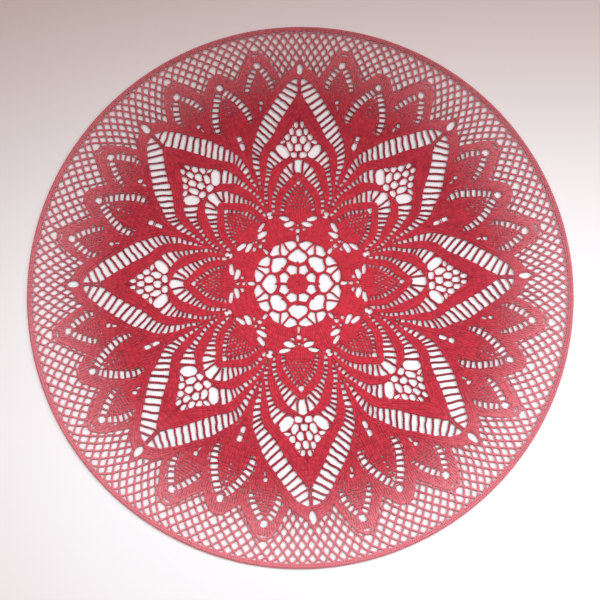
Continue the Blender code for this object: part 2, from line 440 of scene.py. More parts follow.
# Stitches that fill what is left between the rings: heights of their rows, places across, width
FILL_ROWS = tuple(142.0 + 6.0 * n for n in range(10))
FILL_PLACES = (0.7, 27.0, 1.4)
FILL_WIDTH = 1.7
HONEYCOMB_END_STITCHES = ((26.4, 155.8), (29.3, 150.2))
HONEYCOMB_END_HALF = 1.2
HONEYCOMB_MIDDLE_BARS = (
    # from x, y, to x, y, half thickness
    (0.0, 142.0, 0.0, 151.6, 0.95),
    (0.0, 159.0, 0.0, 169.0, 0.95),
    (0.0, 177.5, 0.0, 188.0, 0.95),
)

# The inner pineapple: half width at each height
PINEAPPLE_HALF_WIDTHS = (
    (78.5, 15.2), (85.0, 15.6), (91.0, 14.2), (95.0, 12.0), (99.0, 9.4), (103.0, 6.7),
    (107.0, 4.1), (110.0, 1.9), (112.0, 0.6),
)
PINEAPPLE_EDGE_YARN = 0.6
PINEAPPLE_EDGE_RISE = 0.2
PINEAPPLE_SOLID_ROUNDS = (78.5, 83.0)
# Close mesh above them: lowest and highest row, rows' height, and width from knot to knot
PINEAPPLE_LATTICE = (83.0, 110.5, 3.4, 3.7)
PINEAPPLE_COLUMNS = 8
PINEAPPLE_TIP = (0.0, 114.6, 2.9, 2.7, 90.0)
PINEAPPLE_TIP_YARN = 0.8
# A strand of close mesh at its foot, middle and head: half thickness and height
LATTICE_STRAND = (1.08, 0.88, 1.08)
LATTICE_HEIGHTS = (0.0, 0.2, 0.0)

# The stalk between the petal's two long ladders
STALK_CORD = ((1.6, 214.0), (1.15, 219.0), (1.1, 240.5))
STALK_YARN = 1.05
TIP_OVAL = (0.0, 248.2, 7.0, 3.9, 90.0)
TIP_EDGE = (
    (0.0, 240.6), (2.6, 241.8), (4.2, 244.6), (4.6, 248.0), (4.5, 251.0), (3.4, 253.8),
    (1.6, 255.9), (0.0, 257.0),
)
TIP_KNOT = (0.0, 258.6, 2.2)

# Rounds of the background, from the foot of the wedge to the fans' tips
BACKGROUND_ROUNDS = tuple(79.2 + ROUND_HEIGHT * n for n in range(32))

# The dense work's outline up to the net, and a point beyond it in the next petal
DENSE_OUTLINE = ((0.0, 0.0), (0.0, 250.5)) + NET_EDGE
NEXT_PETAL_EDGE = ((104.0, 237.0),)
NET_EDGE_YARN = 1.55

# The diamond net: loops in a round, rounds, and the radius of its outermost knots and the step
# from level to level, each at the petal's middle line and between two petals
NET_LOOPS = 168
NET_LEVELS = 10
NET_TOP = (289.5, 290.5)
NET_STEP = (6.95, 5.95)
NET_RIM_RADIUS = 294.9
NET_YARN = 1.12
NET_KNOT = 1.8
# How far a strand bows outwards
NET_BOW = 0.60
# How far knots are drawn towards the petal's tip: degrees, and degrees more a millimetre inwards
NET_DRIFT_DEG = (0.45, 0.0135)
NET_OPEN_GAPS = (
    # middle x, y and half size of the wider gaps in the net
    (54.7, 273.2, 3.6),
    (101.2, 244.3, 3.7),
)
# How much further out than the gap's half size knots stay, and how many half sizes off they
# are still pushed
OPEN_GAP_MARGIN = 0.6
OPEN_GAP_REACH = 2.2

# The edging over the hoop: its stitches, half their yarn's height and width, and their lean
WRAPS = 840
WRAP_YARN = 0.62
WRAP_HALF_WIDTH = 1.02
WRAP_LEAN = 0.35
WRAP_POINTS = 9
CHAINS_A_RUN = 4
EDGE_CHAINS = (
    # radius, height, half thickness, chains round
    (294.9, 3.9, 0.75, 760),
    (296.9, 5.05, 0.55, 420),
)


# Yarn

# Kinds of yarn length: a thin cord, the edge of a gap in dense work, a broad stitch that lies
# beside others, and a wrap of the edging
CORD = "cord"
EDGE = "edge"
STITCH = "stitch"
WRAP = "wrap"
# For each kind: its height for its width, whether its top is broad, and its least tone; the
# low least tones of cords and gap edges are painted shade, thin strands darkened as if in their
# own shade against the bright surface
KINDS = {
    CORD: (0.72, False, 0.10),
    EDGE: (0.72, False, 0.44),
    STITCH: (0.50, True, 0.56),
    WRAP: (0.61, False, 0.56),
}
# A length of yarn is a tube with four sides, and all its faces have four corners
TUBE_SIDES = 4
FACE_CORNERS = 4


class Work:
    """Lengths of yarn charted for one petal, sorted by how many points each has."""

    def __init__(self):
        self.lengths = {}

    def add(self, path, thickness, mirrored=True, kind=CORD):
        """path is (lengths, points, 3) in chart millimetres, thickness half the yarn's width."""
        path = np.asarray(path, float)
        thickness = np.broadcast_to(np.asarray(thickness, float), path.shape[:2])
        key = (path.shape[1], mirrored, kind)
        self.lengths.setdefault(key, []).append((path, thickness))

    def groups(self):
        for (_, mirrored, kind), parts in sorted(self.lengths.items()):
            path = np.concatenate([part[0] for part in parts])
            thickness = np.concatenate([part[1] for part in parts])
            if mirrored:
                path = np.concatenate([path, path * (-1.0, 1.0, 1.0)])
                thickness = np.concatenate([thickness, thickness])
            yield path, thickness, kind


def wander(flat):
    """How far the hand's unevenness moves each point."""
    moved = np.zeros_like(flat)
    for sideways, outwards, across, up, start in HAND_WAVES:
        wave = np.sin(math.tau * (across * flat[..., 0] + up * flat[..., 1]) + start)
        moved += wave[..., None] * (sideways, outwards)
    return moved


def placed(chart, petal):
    """Points of the chart on the stretched piece, in millimetres."""
    radius = np.hypot(chart[..., 0], chart[..., 1])
    charted = np.degrees(np.arctan2(chart[..., 0], chart[..., 1])) + PETAL_STEP * petal
    turn = np.full_like(radius, TWIST_STEADY_DEG)
    for waves, cosine, sine in TWIST_WAVES:
        turn += cosine * np.cos(waves * np.radians(charted))
        turn += sine * np.sin(waves * np.radians(charted))
    turn *= (radius / TWIST_FULL_AT) ** TWIST_GROWTH
    angle = np.radians(charted + turn)
    slack = 1.0 - (radius / HOOP_OUTER_RADIUS) ** SLACK_POWER
    flat = np.stack([
        radius * np.sin(angle) + slack * PATTERN_OFF_CENTRE[0],
        radius * np.cos(angle) + slack * PATTERN_OFF_CENTRE[1],
    ], axis=-1)
    flat += wander(flat) * slack[..., None] ** HAND_POWER
    return np.concatenate([flat, chart[..., 2:3] + MIDDLE_HEIGHT], axis=-1)


def tube_corners(path, thickness, kind, side=None):
    """Four corners round every point of each path, as a diamond, or as a box if it is broad."""
    run = np.gradient(path, axis=1)
    run /= np.linalg.norm(run, axis=2, keepdims=True)
    if side is None:
        side = np.stack([run[..., 1], -run[..., 0], np.zeros(run.shape[:2])], axis=-1)
        side /= np.linalg.norm(side, axis=2, keepdims=True)
    flatness, broad, _ = KINDS[kind]
    up = np.cross(side, run) * flatness
    half = thickness[..., None]
    if broad:
        side, up = side + up, up - side
    return np.stack([
        path + side * half,
        path + up * half,
        path - side * half,
        path - up * half,
    ], axis=2)


def tube_faces(lengths, points, first):
    """Corners of each face of closed tubes, whose first corner has the number first."""
    ring = np.arange(TUBE_SIDES)
    start = first + np.arange(lengths * points).reshape(lengths, points, 1) * TUBE_SIDES
    near, beyond = start[:, :-1], start[:, 1:]
    following = (ring + 1) % TUBE_SIDES
    sides = np.stack([near + ring, beyond + ring, beyond + following, near + following], axis=-1)
    caps = np.stack([start[:, 0] + ring, start[:, -1] + ring[::-1]], axis=1)
    return np.concatenate([sides.reshape(-1, FACE_CORNERS), caps.reshape(-1, FACE_CORNERS)])


def tube_lay(path):
    """Along and round the yarn for each corner of each face, in the order of tube_faces."""
    step = np.linalg.norm(np.diff(path, axis=1), axis=2)
    along = np.concatenate([np.zeros((len(path), 1)), np.cumsum(step, axis=1)], axis=1)
    ring = np.arange(TUBE_SIDES)
    near = np.repeat(along[:, :-1, None], TUBE_SIDES, axis=2)
    beyond = np.repeat(along[:, 1:, None], TUBE_SIDES, axis=2)
    low = np.broadcast_to(ring / TUBE_SIDES, near.shape)
    high = np.broadcast_to((ring + 1) / TUBE_SIDES, near.shape)
    sides = np.stack([
        np.stack([near, low], axis=-1),
        np.stack([beyond, low], axis=-1),
        np.stack([beyond, high], axis=-1),
        np.stack([near, high], axis=-1),
    ], axis=-2)
    ends = np.stack([along[:, 0], along[:, -1]], axis=1)[:, :, None]
    caps = np.stack([
        np.repeat(ends, TUBE_SIDES, axis=2),
        np.broadcast_to(ring / TUBE_SIDES, (len(path), 2, TUBE_SIDES)),
    ], axis=-1)
    return np.concatenate([sides.reshape(-1, 2), caps.reshape(-1, 2)])


def yarn_piece(name, groups, material, random):
    """One mesh of closed yarn tubes. groups gives paths, thicknesses, kinds and sides."""
    corners, faces, lays, tones = [], [], [], []
    count = 0
    for path, thickness, kind, side in groups:
        lengths, points = path.shape[:2]
        spread = random.standard_normal((lengths, 1)).clip(-MOST_SPREADS, MOST_SPREADS)
        fullness = 1.0 + FULLNESS_SPREAD * spread
        corners.append(tube_corners(path, thickness * fullness, kind, side).reshape(-1, 3))
        faces.append(tube_faces(lengths, points, count))
        lays.append(tube_lay(path))
        # The kind's least tone, low on thin strands as painted shade, plus the yarn's own random
        # spread
        tone = KINDS[kind][2] + TONE_SPREAD * random.random(lengths)
        tones.append(np.repeat(tone, points * TUBE_SIDES))
        count += lengths * points * TUBE_SIDES
    corners = np.concatenate(corners) * MM
    faces = np.concatenate(faces)
    mesh = bpy.data.meshes.new(name)
    mesh.vertices.add(len(corners))
    mesh.vertices.foreach_set("co", corners.astype(np.float32).ravel())
    mesh.loops.add(faces.size)
    mesh.loops.foreach_set("vertex_index", faces.astype(np.int32).ravel())
    mesh.polygons.add(len(faces))
    first_corners = np.arange(0, faces.size, FACE_CORNERS, dtype=np.int32)
    mesh.polygons.foreach_set("loop_start", first_corners)
    mesh.update(calc_edges=True)
    mesh.shade_smooth()
    lay = mesh.uv_layers.new(name="yarn_lay")
    lay.data.foreach_set("uv", np.concatenate(lays).astype(np.float32).ravel())
    tone = mesh.attributes.new("stitch_tone", "FLOAT", "POINT")
    tone.data.foreach_set("value", np.concatenate(tones).astype(np.float32))
    mesh.materials.append(material)
    piece = bpy.data.objects.new(name, mesh)
    bpy.context.collection.objects.link(piece)
    return piece


# Lines and shapes of the chart

# How many times a line's corners are eased, and the pitch of a rail that another is matched to
EASINGS = 6
FINE_PITCH = 0.5
# Places along a line where it is tested for gaps, and the fewest of them in a clear run
RUN_SAMPLES = 13
FEWEST_SAMPLES = 3
# What a length counts as at least where something is divided by it
LEAST_LENGTH = 0.1


def resampled(line, pitch):
    """The line's points again at an even pitch, with its corners eased."""
    line = np.asarray(line, float)
    step = np.hypot(*np.diff(line, axis=0).T)
    along = np.concatenate([[0.0], np.cumsum(step)])
    fine = np.linspace(0.0, along[-1], max(2, round(along[-1])) + 1)
    eased = np.stack([np.interp(fine, along, line[:, 0]), np.interp(fine, along, line[:, 1])], 1)
    for _ in range(EASINGS):
        eased[1:-1] = (eased[:-2] + 2 * eased[1:-1] + eased[2:]) / 4
    count = max(1, round(along[-1] / pitch))
    even = np.linspace(0.0, along[-1], count + 1)
    return np.stack([np.interp(even, fine, eased[:, 0]), np.interp(even, fine, eased[:, 1])], 1)


def inside(points, outline):
    """Which points lie inside the closed outline."""
    outline = np.asarray(outline, float)
    within = np.zeros(points.shape[:-1], bool)
    for (x1, y1), (x2, y2) in zip(outline, np.roll(outline, -1, axis=0)):
        if y1 == y2:
            continue
        crosses = (y1 > points[..., 1]) != (y2 > points[..., 1])
        at = x1 + (points[..., 1] - y1) * (x2 - x1) / (y2 - y1)
        within ^= crosses & (points[..., 0] < at)
    return within


def oval_share(points, oval):
    """How far out from the oval's middle each point is, 1 being its edge."""
    x, y, half_length, half_width, lean = oval
    turn = math.radians(lean)
    off = points - (x, y)
    along = (off[..., 0] * math.cos(turn) + off[..., 1] * math.sin(turn)) / half_length
    beside = (off[..., 1] * math.cos(turn) - off[..., 0] * math.sin(turn)) / half_width
    reach = np.abs(along) ** GAP_SQUARENESS + np.abs(beside) ** GAP_SQUARENESS
    return reach ** (1 / GAP_SQUARENESS)


def widened(oval, margin):
    """The oval with more room on every side."""
    x, y, half_length, half_width, lean = oval
    return x, y, half_length + margin, half_width + margin, lean


def open_work(ovals, strips=(), within=None):
    """A test of which points lie in a gap, in a ladder's strip, or outside the outline within."""
    def is_open(points):
        gap = np.zeros(points.shape[:-1], bool)
        for oval in ovals:
            gap |= oval_share(points, widened(oval, GAP_MARGIN)) < 1.0
        for strip in strips:
            gap |= inside(points, strip)
        if within is not None:
            gap |= ~inside(points, within)
        return gap
    return is_open


def clear_runs(feet, heads, is_open):
    """The lengths of each line from foot to head that lie clear of the gaps."""
    share = np.linspace(0.0, 1.0, RUN_SAMPLES)
    clear = ~is_open(feet[:, None] + (heads - feet)[:, None] * share[:, None])
    runs = []
    for n, row in enumerate(clear):
        edges = np.flatnonzero(np.diff(np.concatenate([[0], row.astype(int), [0]])))
        for start, end in zip(edges[::2], edges[1::2]):
            if end - start >= FEWEST_SAMPLES:
                runs.append((n, share[start], share[end - 1]))
    return np.array(runs).reshape(-1, 3)


def on_ring(radius, degrees):
    """Points of the chart at that radius and those angles from the petal's middle line."""
    turn = np.radians(degrees)
    return np.stack([radius * np.sin(turn), radius * np.cos(turn)], axis=-1)


# Stitches

def plumpness(points, thin_and_plump):
    """Share of the yarn's thickness at each point of a chain, thin and plump by turns."""
    thin, plump = thin_and_plump
    return np.where(np.arange(points) % 2 == 1, plump, thin)


def trebles(work, feet, heads, width, fullness, is_open=None, kind=STITCH):
    """A treble from each foot to its head: the post, and the loop over its head."""
    full = np.broadcast_to(fullness, len(feet))
    wide = np.broadcast_to(width, len(feet))
    headed = np.ones(len(feet), bool)
    if is_open is not None:
        runs = clear_runs(feet, heads, is_open)
        row = runs[:, 0].astype(int)
        rise = heads[row] - feet[row]
        feet, heads = feet[row] + rise * runs[:, 1:2], feet[row] + rise * runs[:, 2:3]
        full, wide, headed = full[row], wide[row], runs[:, 2] == 1.0
    rise = heads - feet
    height = np.hypot(rise[:, 0], rise[:, 1])
    tall = height > SHORTEST_TREBLE
    feet, rise, height = feet[tall], rise[tall], height[tall]
    full, wide, headed = full[tall], wide[tall], headed[tall]
    if not len(feet):
        return
    up = rise / height[:, None]
    across = np.stack([up[:, 1], -up[:, 0]], axis=1)
    post = [
        np.column_stack([feet + rise * share + across * lean, np.full(len(feet), level)])
        for share, lean, level, _ in POST_SHAPE
    ]
    thickness = np.array([row[3] for row in POST_SHAPE])[None] * (wide * full)[:, None]
    work.add(np.stack(post, axis=1), thickness, kind=kind)
    head = feet + rise
    loop = [
        np.column_stack([
            head + across * (wide * aside)[:, None] + up * (wide * back)[:, None],
            np.full(len(feet), level),
        ])
        for aside, back, level, _ in LOOP_SHAPE
    ]
    thickness = np.array([row[3] for row in LOOP_SHAPE])[None] * full[:, None] ** 0.5
    work.add(np.stack(loop, axis=1)[headed], thickness[headed], kind=kind)


def chains(work, ends, half, bow=0.0, mirrored=True, kind=CORD):
    """Straight or slightly bowed lengths of chain stitches between pairs of points."""
    ends = np.asarray(ends, float).reshape(-1, 2, 2)
    half = np.broadcast_to(half, len(ends))
    bow = np.broadcast_to(bow, (len(ends), 2))
    length = np.hypot(*(ends[:, 1] - ends[:, 0]).T)
    counts = np.clip(np.round(length / CHAIN_PITCH).astype(int), *CHAINS_A_LENGTH)
    for count in np.unique(counts):
        some = counts == count
        share = np.linspace(0.0, 1.0, 2 * count + 1)[None, :, None]
        near, far = ends[some, :1], ends[some, 1:]
        flat = near + (far - near) * share + 4 * share * (1 - share) * bow[some, None]
        level = np.zeros(flat.shape[:2] + (1,))
        thickness = half[some, None] * plumpness(2 * count + 1, CHAIN_PLUMPNESS)
        work.add(np.concatenate([flat, level], axis=-1), thickness, mirrored, kind)


def bars(work, table, mirrored=True, kind=EDGE):
    """Straight chains, each given as from x, y, to x, y, and half thickness."""
    for x1, y1, x2, y2, half in table:
        chains(work, [(x1, y1), (x2, y2)], half, mirrored=mirrored, kind=kind)


def knots(work, places, mirrored=True, kind=CORD):
    """Joining stitches: a short plump length at each x, y and half width."""
    places = np.asarray(places, float).reshape(-1, 3)
    shape = np.array(KNOT_SHAPE)
    path = np.zeros((len(places), len(shape), 3))
    path[..., 0] = places[:, None, 0]
    path[..., 1] = places[:, None, 1] + shape[:, 0] * places[:, None, 2]
    path[..., 2] = KNOT_HEIGHT
    work.add(path, places[:, None, 2] * shape[:, 1], mirrored, kind)


def cord(work, line, half, height=0.0, mirrored=True, kind=EDGE):
    """A chain along a line of the chart, cut in short lengths, each from the last one's end."""
    points = resampled(line, CHAIN_PITCH / 2)
    for start in range(0, len(points) - 1, CORD_RUN):
        part = points[start:start + CORD_RUN + 1]
        if len(part) < 3:
            part = points[-3:]
        thickness = plumpness(len(part), CORD_PLUMPNESS) * half
        level = np.full((len(part), 1), height)
        work.add(np.concatenate([part, level], axis=1)[None], thickness[None], mirrored, kind)


def band(work, rows_a, rows_b, is_open=None, fullness=1.0, insets=(BAND_INSET, BAND_INSET)):
    """Rows of trebles along a band. Row n runs from point n of rows_a to point n of rows_b."""
    across = rows_b - rows_a
    across = across / np.maximum(np.hypot(*across.T), LEAST_LENGTH)[:, None]
    rows_a = rows_a + across * insets[0]
    rows_b = rows_b - across * insets[1]
    for n in range(len(rows_a) - 1):
        foot_width = math.dist(rows_a[n], rows_b[n])
        head_width = math.dist(rows_a[n + 1], rows_b[n + 1])
        posts = max(1, round((foot_width + head_width) / 2 / TREBLE_WIDTH))
        share = ((np.arange(posts) + 0.5) / posts)[:, None]
        feet = rows_a[n] + (rows_b[n] - rows_a[n]) * share
        heads = rows_a[n + 1] + (rows_b[n + 1] - rows_a[n + 1]) * share
        wide = max(foot_width, head_width) / posts
        trebles(work, feet, heads, min(wide, WIDEST_TREBLE), fullness, is_open)


def paired_rows(inner, outer):
    """Matching points on two rails: even along the longer one, and nearest on the other."""
    fine = resampled(inner, FINE_PITCH)
    rows_b = resampled(outer, ROUND_HEIGHT)
    nearest = np.array([np.argmin(np.hypot(*(fine - point).T)) for point in rows_b])
    nearest = np.maximum.accumulate(nearest)
    nearest[0], nearest[-1] = 0, len(fine) - 1
    return fine[nearest], rows_b


def ladder(work, gaps, half=None):
    """Bars between a ladder's gaps, given as inner x, inner y, outer x and outer y."""
    gaps = np.asarray(gaps, float)
    ends = ((gaps[:-1] + gaps[1:]) / 2).reshape(-1, 2, 2)
    reach = ends[:, 1] - ends[:, 0]
    length = np.hypot(*reach.T)
    if half is None:
        half = np.interp(length, BAR_GAPS, BAR_HALVES)
    reach *= BAR_REACH / length[:, None]
    ends[:, 0] -= reach
    ends[:, 1] += reach
    chains(work, ends, half)


def gap_ends(gaps, margin=0.0):
    """Inner and outer ends of ladder gaps given by middle, length and lean."""
    x, y, length, lean = np.asarray(gaps, float).T
    half = length / 2 + np.sign(length) * margin
    off_x = np.cos(np.radians(lean)) * half
    off_y = np.sin(np.radians(lean)) * half
    return np.stack([x - off_x, y - off_y, x + off_x, y + off_y], axis=1)


def ring(work, cell, half, whole):
    """A ring of yarn round an oval cell, or the half of it on the chart's side."""
    x, y, half_length, half_width, lean = cell
    turn = math.radians(lean)
    if whole:
        angle = np.linspace(0.0, math.tau * RING_TURNS, RING_POINTS)
    else:
        angle = np.linspace(-math.pi, 0.0, HALF_RING_POINTS)
    along, beside = np.cos(angle), np.sin(angle)
    along = (half_length + half) * np.sign(along) * np.abs(along) ** (2 / GAP_SQUARENESS)
    beside = (half_width + half) * np.sign(beside) * np.abs(beside) ** (2 / GAP_SQUARENESS)
    path = np.stack([
        x + along * math.cos(turn) - beside * math.sin(turn),
        y + along * math.sin(turn) + beside * math.cos(turn),
        np.zeros_like(angle),
    ], axis=1)
    thickness = plumpness(len(angle), RING_PLUMPNESS) * half
    work.add(path[None], thickness[None], kind=EDGE)


def rounds(work, radii, is_open):
    """Rounds of trebles about the pattern's middle, over the half petal."""
    for inner, outer in zip(radii[:-1], radii[1:]):
        posts = max(1, round(math.radians(HALF_PETAL) * (inner + outer) / 2 / TREBLE_WIDTH))
        angles = (np.arange(posts) + 0.5) / posts * HALF_PETAL
        feet, heads = on_ring(inner, angles), on_ring(outer, angles)
        middle = (feet + heads) / 2
        width = math.radians(HALF_PETAL) * outer / posts
        looser = np.interp((inner + outer) / 2, (LOOSER_FROM, LOOSER_UNTIL), (1.0, OUTER_FULLNESS))
        full = np.full(posts, looser)
        for *patch, fullness in LOOSE_PATCHES:
            loose = oval_share(middle, patch) < 1.0
            full = np.where(loose, np.minimum(full, fullness), full)
        for patch in DENSE_PATCHES:
            full = np.where(oval_share(middle, patch) < 1.0, 1.0, full)
        trebles(work, feet, heads, width, full, is_open)


def close_mesh(work, is_open):
    """Close diamond mesh in the fans, over the patches kept for it."""
    low, high, step, turn = MESH_ROUNDS
    radii = np.arange(low, high, step)
    for n, (inner, outer) in enumerate(zip(radii[:-1], radii[1:])):
        angles = np.arange(0.5 if n % 2 else 0.0, HALF_PETAL / turn) * turn
        for aside in (-turn / 2, turn / 2):
            near, far = on_ring(inner, angles), on_ring(outer, angles + aside)
            middle = (near + far) / 2
            shown = np.zeros(len(middle), bool)
            for patch in MESH_PATCHES:
                shown |= oval_share(middle, widened(patch, MESH_MARGIN)) < 1.0
            shown &= ~is_open(middle)
            flat = np.stack([near, middle, far], axis=1)[shown]
            level = np.broadcast_to(np.array(LATTICE_HEIGHTS)[:, None], flat.shape[:2] + (1,))
            work.add(np.concatenate([flat, level], axis=-1), [LATTICE_STRAND], kind=STITCH)


# Motifs of one petal

def work_core(work):
    """Long stitches radiating from the middle, with uneven ends."""
    share, height, half = np.array(CORE_STITCH).T
    angles = (np.arange(len(CORE_REACHES)) + 0.5) / len(CORE_REACHES) * HALF_PETAL
    for angle, (start, reach) in zip(angles, CORE_REACHES):
        flat = on_ring(start + (reach - start) * share, np.full(len(share), angle))
        work.add(np.column_stack([flat, height])[None], half[None], kind=STITCH)


def work_medallion(work):
    bars(work, MEDALLION_BARS)
    bars(work, MEDALLION_MIDDLE_BARS, mirrored=False)
    knots(work, MEDALLION_KNOTS, kind=EDGE)


def work_annulus(work):
    rounds(work, ANNULUS_ROUNDS, open_work(ANNULUS_GAPS))
    cord(work, ANNULUS_EDGE, ANNULUS_EDGE_YARN, height=FOOT_RISE)
    for gap in ANNULUS_GAPS:
        ring(work, gap, GAP_EDGE_YARN, whole=gap[0] > 0.0)


def work_pineapple(work):
    heights, widths = np.array(PINEAPPLE_HALF_WIDTHS).T
    rows = np.array(PINEAPPLE_SOLID_ROUNDS)
    middle = np.stack([np.zeros(len(rows)), rows], axis=1)
    edge = np.stack([np.interp(rows, heights, widths), rows], axis=1)
    band(work, middle, edge, insets=(0.0, BAND_INSET))
    low, high, row_step, mesh_step = PINEAPPLE_LATTICE
    levels = np.arange(low, high + row_step / 2, row_step)
    for n, (y1, y2) in enumerate(zip(levels[:-1], levels[1:])):
        room = np.interp((y1 + y2) / 2, heights, widths)
        starts = np.arange(PINEAPPLE_COLUMNS) * mesh_step + (mesh_step / 2 if n % 2 else 0.0)
        for x in starts:
            for far in (x - mesh_step / 2, x + mesh_step / 2):
                if far < 0.0 or max(x, far) > room:
                    continue
                flat = [(x, y1), ((x + far) / 2, (y1 + y2) / 2), (far, y2)]
                work.add(np.column_stack([flat, LATTICE_HEIGHTS])[None], [LATTICE_STRAND],
                         kind=STITCH)
    edge = np.stack([widths, heights], axis=1)[1:]
    cord(work, edge, PINEAPPLE_EDGE_YARN, height=PINEAPPLE_EDGE_RISE)
    ring(work, PINEAPPLE_TIP, PINEAPPLE_TIP_YARN, whole=False)


def work_petal(work):
    """The three bands with their trebles, the ladders between them, and the stalk."""
    for inner, outer in (
        (BAND_1_INNER, BAND_1_OUTER), (BAND_2_INNER, BAND_2_OUTER), (BAND_3_INNER, BAND_3_OUTER),
    ):
        band(work, *paired_rows(inner, outer))
    tip = np.array(BAND_3_TIP)
    band(work, tip[:, :2], tip[:, 2:], insets=(0.0, BAND_INSET))
    for gaps in (LADDER_1_GAPS, LADDER_2_GAPS, LADDER_3_GAPS):
        ladder(work, gap_ends(gaps))
    ladder(work, LONG_LADDER_GAPS)
    cord(work, STALK_CORD, STALK_YARN)


def work_honeycomb(work):
    """Rings of yarn round the cells, and stitches in what is left between them."""
    across = np.arange(*FILL_PLACES)
    is_open = open_work(HONEYCOMB_CELLS, within=HONEYCOMB_EDGE)
    for low, high in zip(FILL_ROWS[:-1], FILL_ROWS[1:]):
        feet = np.column_stack([across, np.full(len(across), low)])
        trebles(work, feet, feet + (0.0, high - low), FILL_WIDTH, 1.0, is_open, CORD)
    for cell in HONEYCOMB_CELLS:
        ring(work, widened(cell, -HONEYCOMB_TIGHTNESS), HONEYCOMB_YARN, whole=cell[0] > 0.0)
    chains(work, HONEYCOMB_END_STITCHES, HONEYCOMB_END_HALF, kind=EDGE)
    bars(work, HONEYCOMB_MIDDLE_BARS, mirrored=False, kind=CORD)


def work_background(work):
    """The arch round the petal, the wedge between two petals, and the three fans."""
    band(work, *paired_rows(ARCH_INNER, ARCH_OUTER), open_work((TIP_OVAL,)), ARCH_FULLNESS)
    cord(work, TIP_EDGE, ARCH_YARN)
    knots(work, [TIP_KNOT], mirrored=False)
    cord(work, ARCH_OUTER[:-2], ARCH_YARN)
    strips = [ARCH_OUTER + PETAL_FOOT]
    for table in (SIDE_FAN_LEFT_GAPS, SIDE_FAN_RIGHT_GAPS, MIDDLE_FAN_GAPS):
        gaps = gap_ends(table)
        room = gap_ends(table, GAP_MARGIN)
        strips.append(np.concatenate([room[:, :2], room[::-1, 2:]]))
        ladder(work, gaps, FAN_BAR_HALF)
        cord(work, gaps[:, :2], GAP_EDGE_YARN)
        cord(work, gaps[:, 2:], GAP_EDGE_YARN)
    chains(work, FAN_TIP_BAR, FAN_TIP_BAR_HALF, kind=EDGE)
    rounds(work, BACKGROUND_ROUNDS, open_work(FAN_GAPS + MESH_PATCHES, strips, DENSE_OUTLINE))
    close_mesh(work, open_work(FAN_GAPS, strips, DENSE_OUTLINE))
    cord(work, WEDGE_FOOT, FOOT_YARN, height=FOOT_RISE, mirrored=False)
    cord(work, WEDGE_SIDE, WEDGE_SIDE_YARN)
    cord(work, FOOT_EDGE, FOOT_YARN, height=FOOT_RISE)
    for gap in FAN_GAPS:
        beside = abs(gap[0] / gap[1] - MIDDLE_SLOPE) > SLOPE_TOLERANCE
        ring(work, gap, GAP_EDGE_YARN, whole=beside)
    cord(work, NET_EDGE, NET_EDGE_YARN, kind=STITCH)


def net_knot_places(level, places):
    """Chart points of the net's knots on one level, by their number from the petal's middle."""
    turn = np.asarray(places, float) * 360.0 / NET_LOOPS
    if level < 0:
        return on_ring(np.full_like(turn, NET_RIM_RADIUS), turn)
    towards = (1.0 - np.cos(math.tau * turn / PETAL_STEP)) / 2
    top = NET_TOP[0] + (NET_TOP[1] - NET_TOP[0]) * towards
    step = NET_STEP[0] + (NET_STEP[1] - NET_STEP[0]) * towards
    radius = top - step * level
    drift = NET_DRIFT_DEG[0] + NET_DRIFT_DEG[1] * (NET_TOP[0] - radius)
    points = on_ring(radius, turn - drift * np.sin(math.tau * turn / PETAL_STEP))
    for x, y, half in NET_OPEN_GAPS:
        for side in (1.0, -1.0):
            off = points - (side * x, y)
            away = np.hypot(*off.T)
            reach = half * OPEN_GAP_REACH
            wanted = half + OPEN_GAP_MARGIN + away * (reach - half - OPEN_GAP_MARGIN) / reach
            push = np.where(away < reach, wanted / np.maximum(away, LEAST_LENGTH), 1.0)
            points = (side * x, y) + off * push[:, None]
    return points


def work_net(work):
    """Loops of chain, each caught in the middle by the next round, out to the edging."""
    loops = NET_LOOPS // PETALS
    whole = DENSE_OUTLINE + NEXT_PETAL_EDGE
    for level in range(-1, NET_LEVELS):
        places = np.arange(-(loops // 2), loops // 2 + 1) + (0.5 if level % 2 else 0.0)
        outer = net_knot_places(level, places)
        dense = inside(np.abs(outer), whole)
        for side in (-0.5, 0.5):
            inner = net_knot_places(level + 1, places + side)
            shown = ~dense & (oval_share(np.abs(inner), TIP_OVAL) > 1.0)
            ends = np.stack([inner[shown], outer[shown]], axis=1)
            outwards = outer[shown] / np.hypot(*outer[shown].T)[:, None]
            chains(work, ends, NET_YARN, outwards * NET_BOW, mirrored=False)
        if level >= 0:
            joined = np.column_stack([outer, np.full(len(outer), NET_KNOT)])
            knots(work, joined[~dense], mirrored=False)


def work_one_petal():
    work = Work()
    work_core(work)
    work_medallion(work)
    work_annulus(work)
    work_pineapple(work)
    work_petal(work)
    work_honeycomb(work)
    work_background(work)
    work_net(work)
    return work


